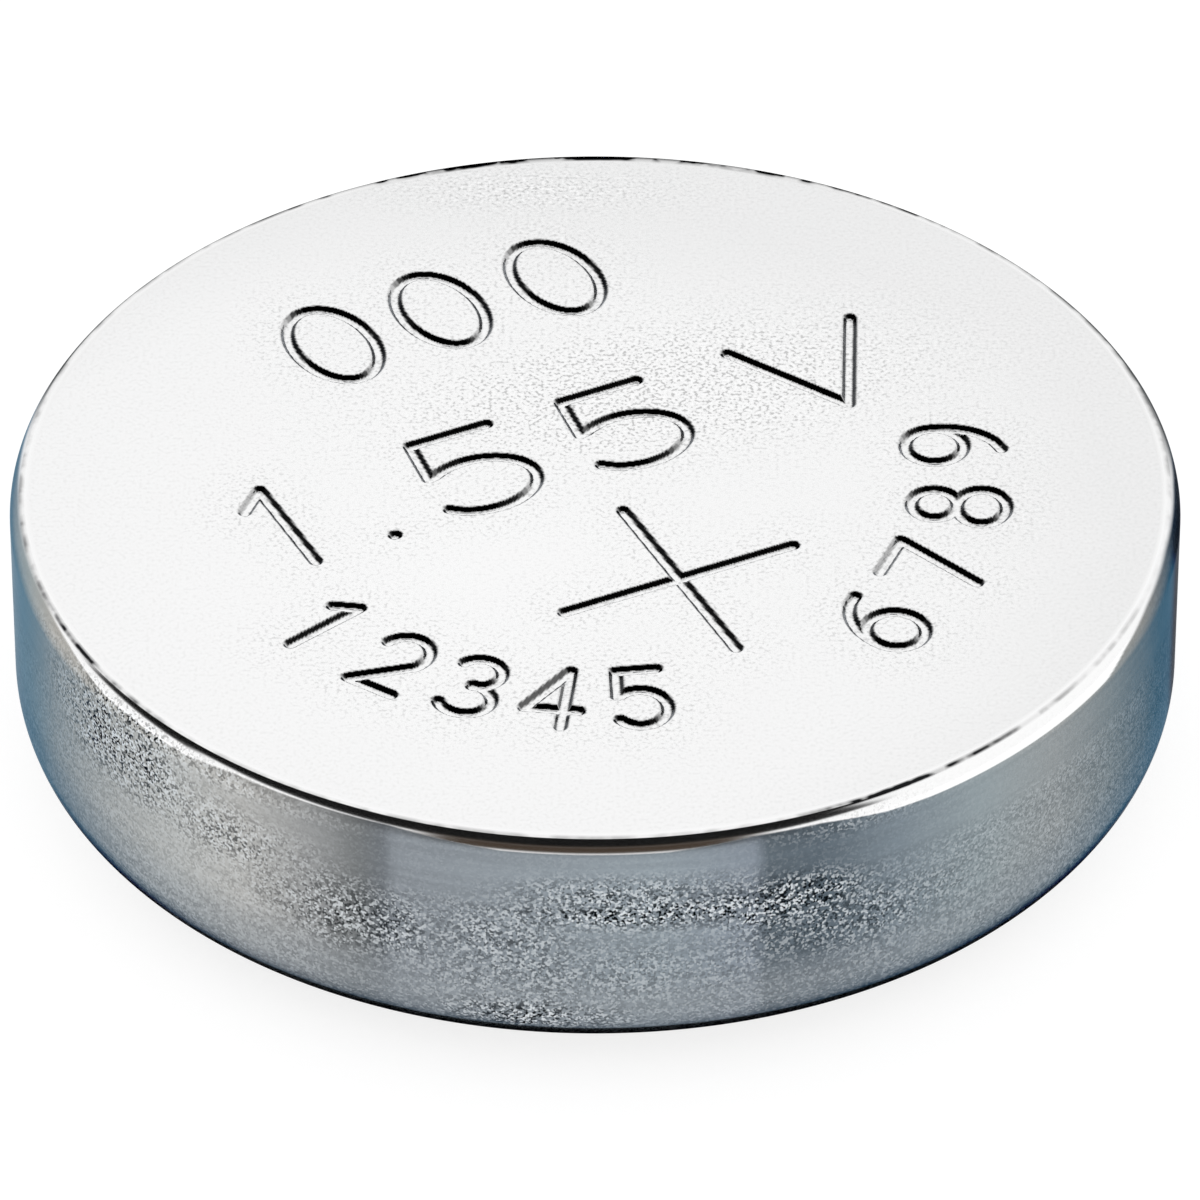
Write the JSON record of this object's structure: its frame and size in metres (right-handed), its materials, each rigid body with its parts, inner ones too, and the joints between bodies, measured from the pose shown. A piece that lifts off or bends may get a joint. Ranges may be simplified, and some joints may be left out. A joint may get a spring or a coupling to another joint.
{
  "type": "silver oxide watch battery",
  "caption": "Small round crimped metal cell: a flat positive can rolled over a sealing ring round a stepped negative cap, with its pellet, barrier, pad and gel inside.",
  "frame": {"origin": "middle of the negative contact face, which is the lowest face of the cell", "axes": "+Z along the axis of the cell, from the negative contact face to the positive face; X and Y across it"},
  "size_m": [0.0078, 0.0078, 0.0021],
  "materials": {
    "can_steel": "drawn, nickel plated, bright",
    "silver_oxide": "pressed, dull",
    "ring_steel": "drawn, nickel plated",
    "cellulose": "clear film",
    "membrane": "milky film",
    "nonwoven": "pressed fibre",
    "nylon": "moulded, natural",
    "zinc_gel": "powder in gel",
    "cap_steel": "drawn, nickel clad, bright"
  },
  "bodies": {
    "root": {"positive_can": "can_steel", "cathode_pellet": "silver_oxide", "cathode_support_ring": "ring_steel", "cellulose_film": "cellulose", "grafted_membrane": "membrane", "absorber_pad": "nonwoven", "sealing_gasket": "nylon", "zinc_anode": "zinc_gel", "negative_cap": "cap_steel"}
  },
  "joints": []
}
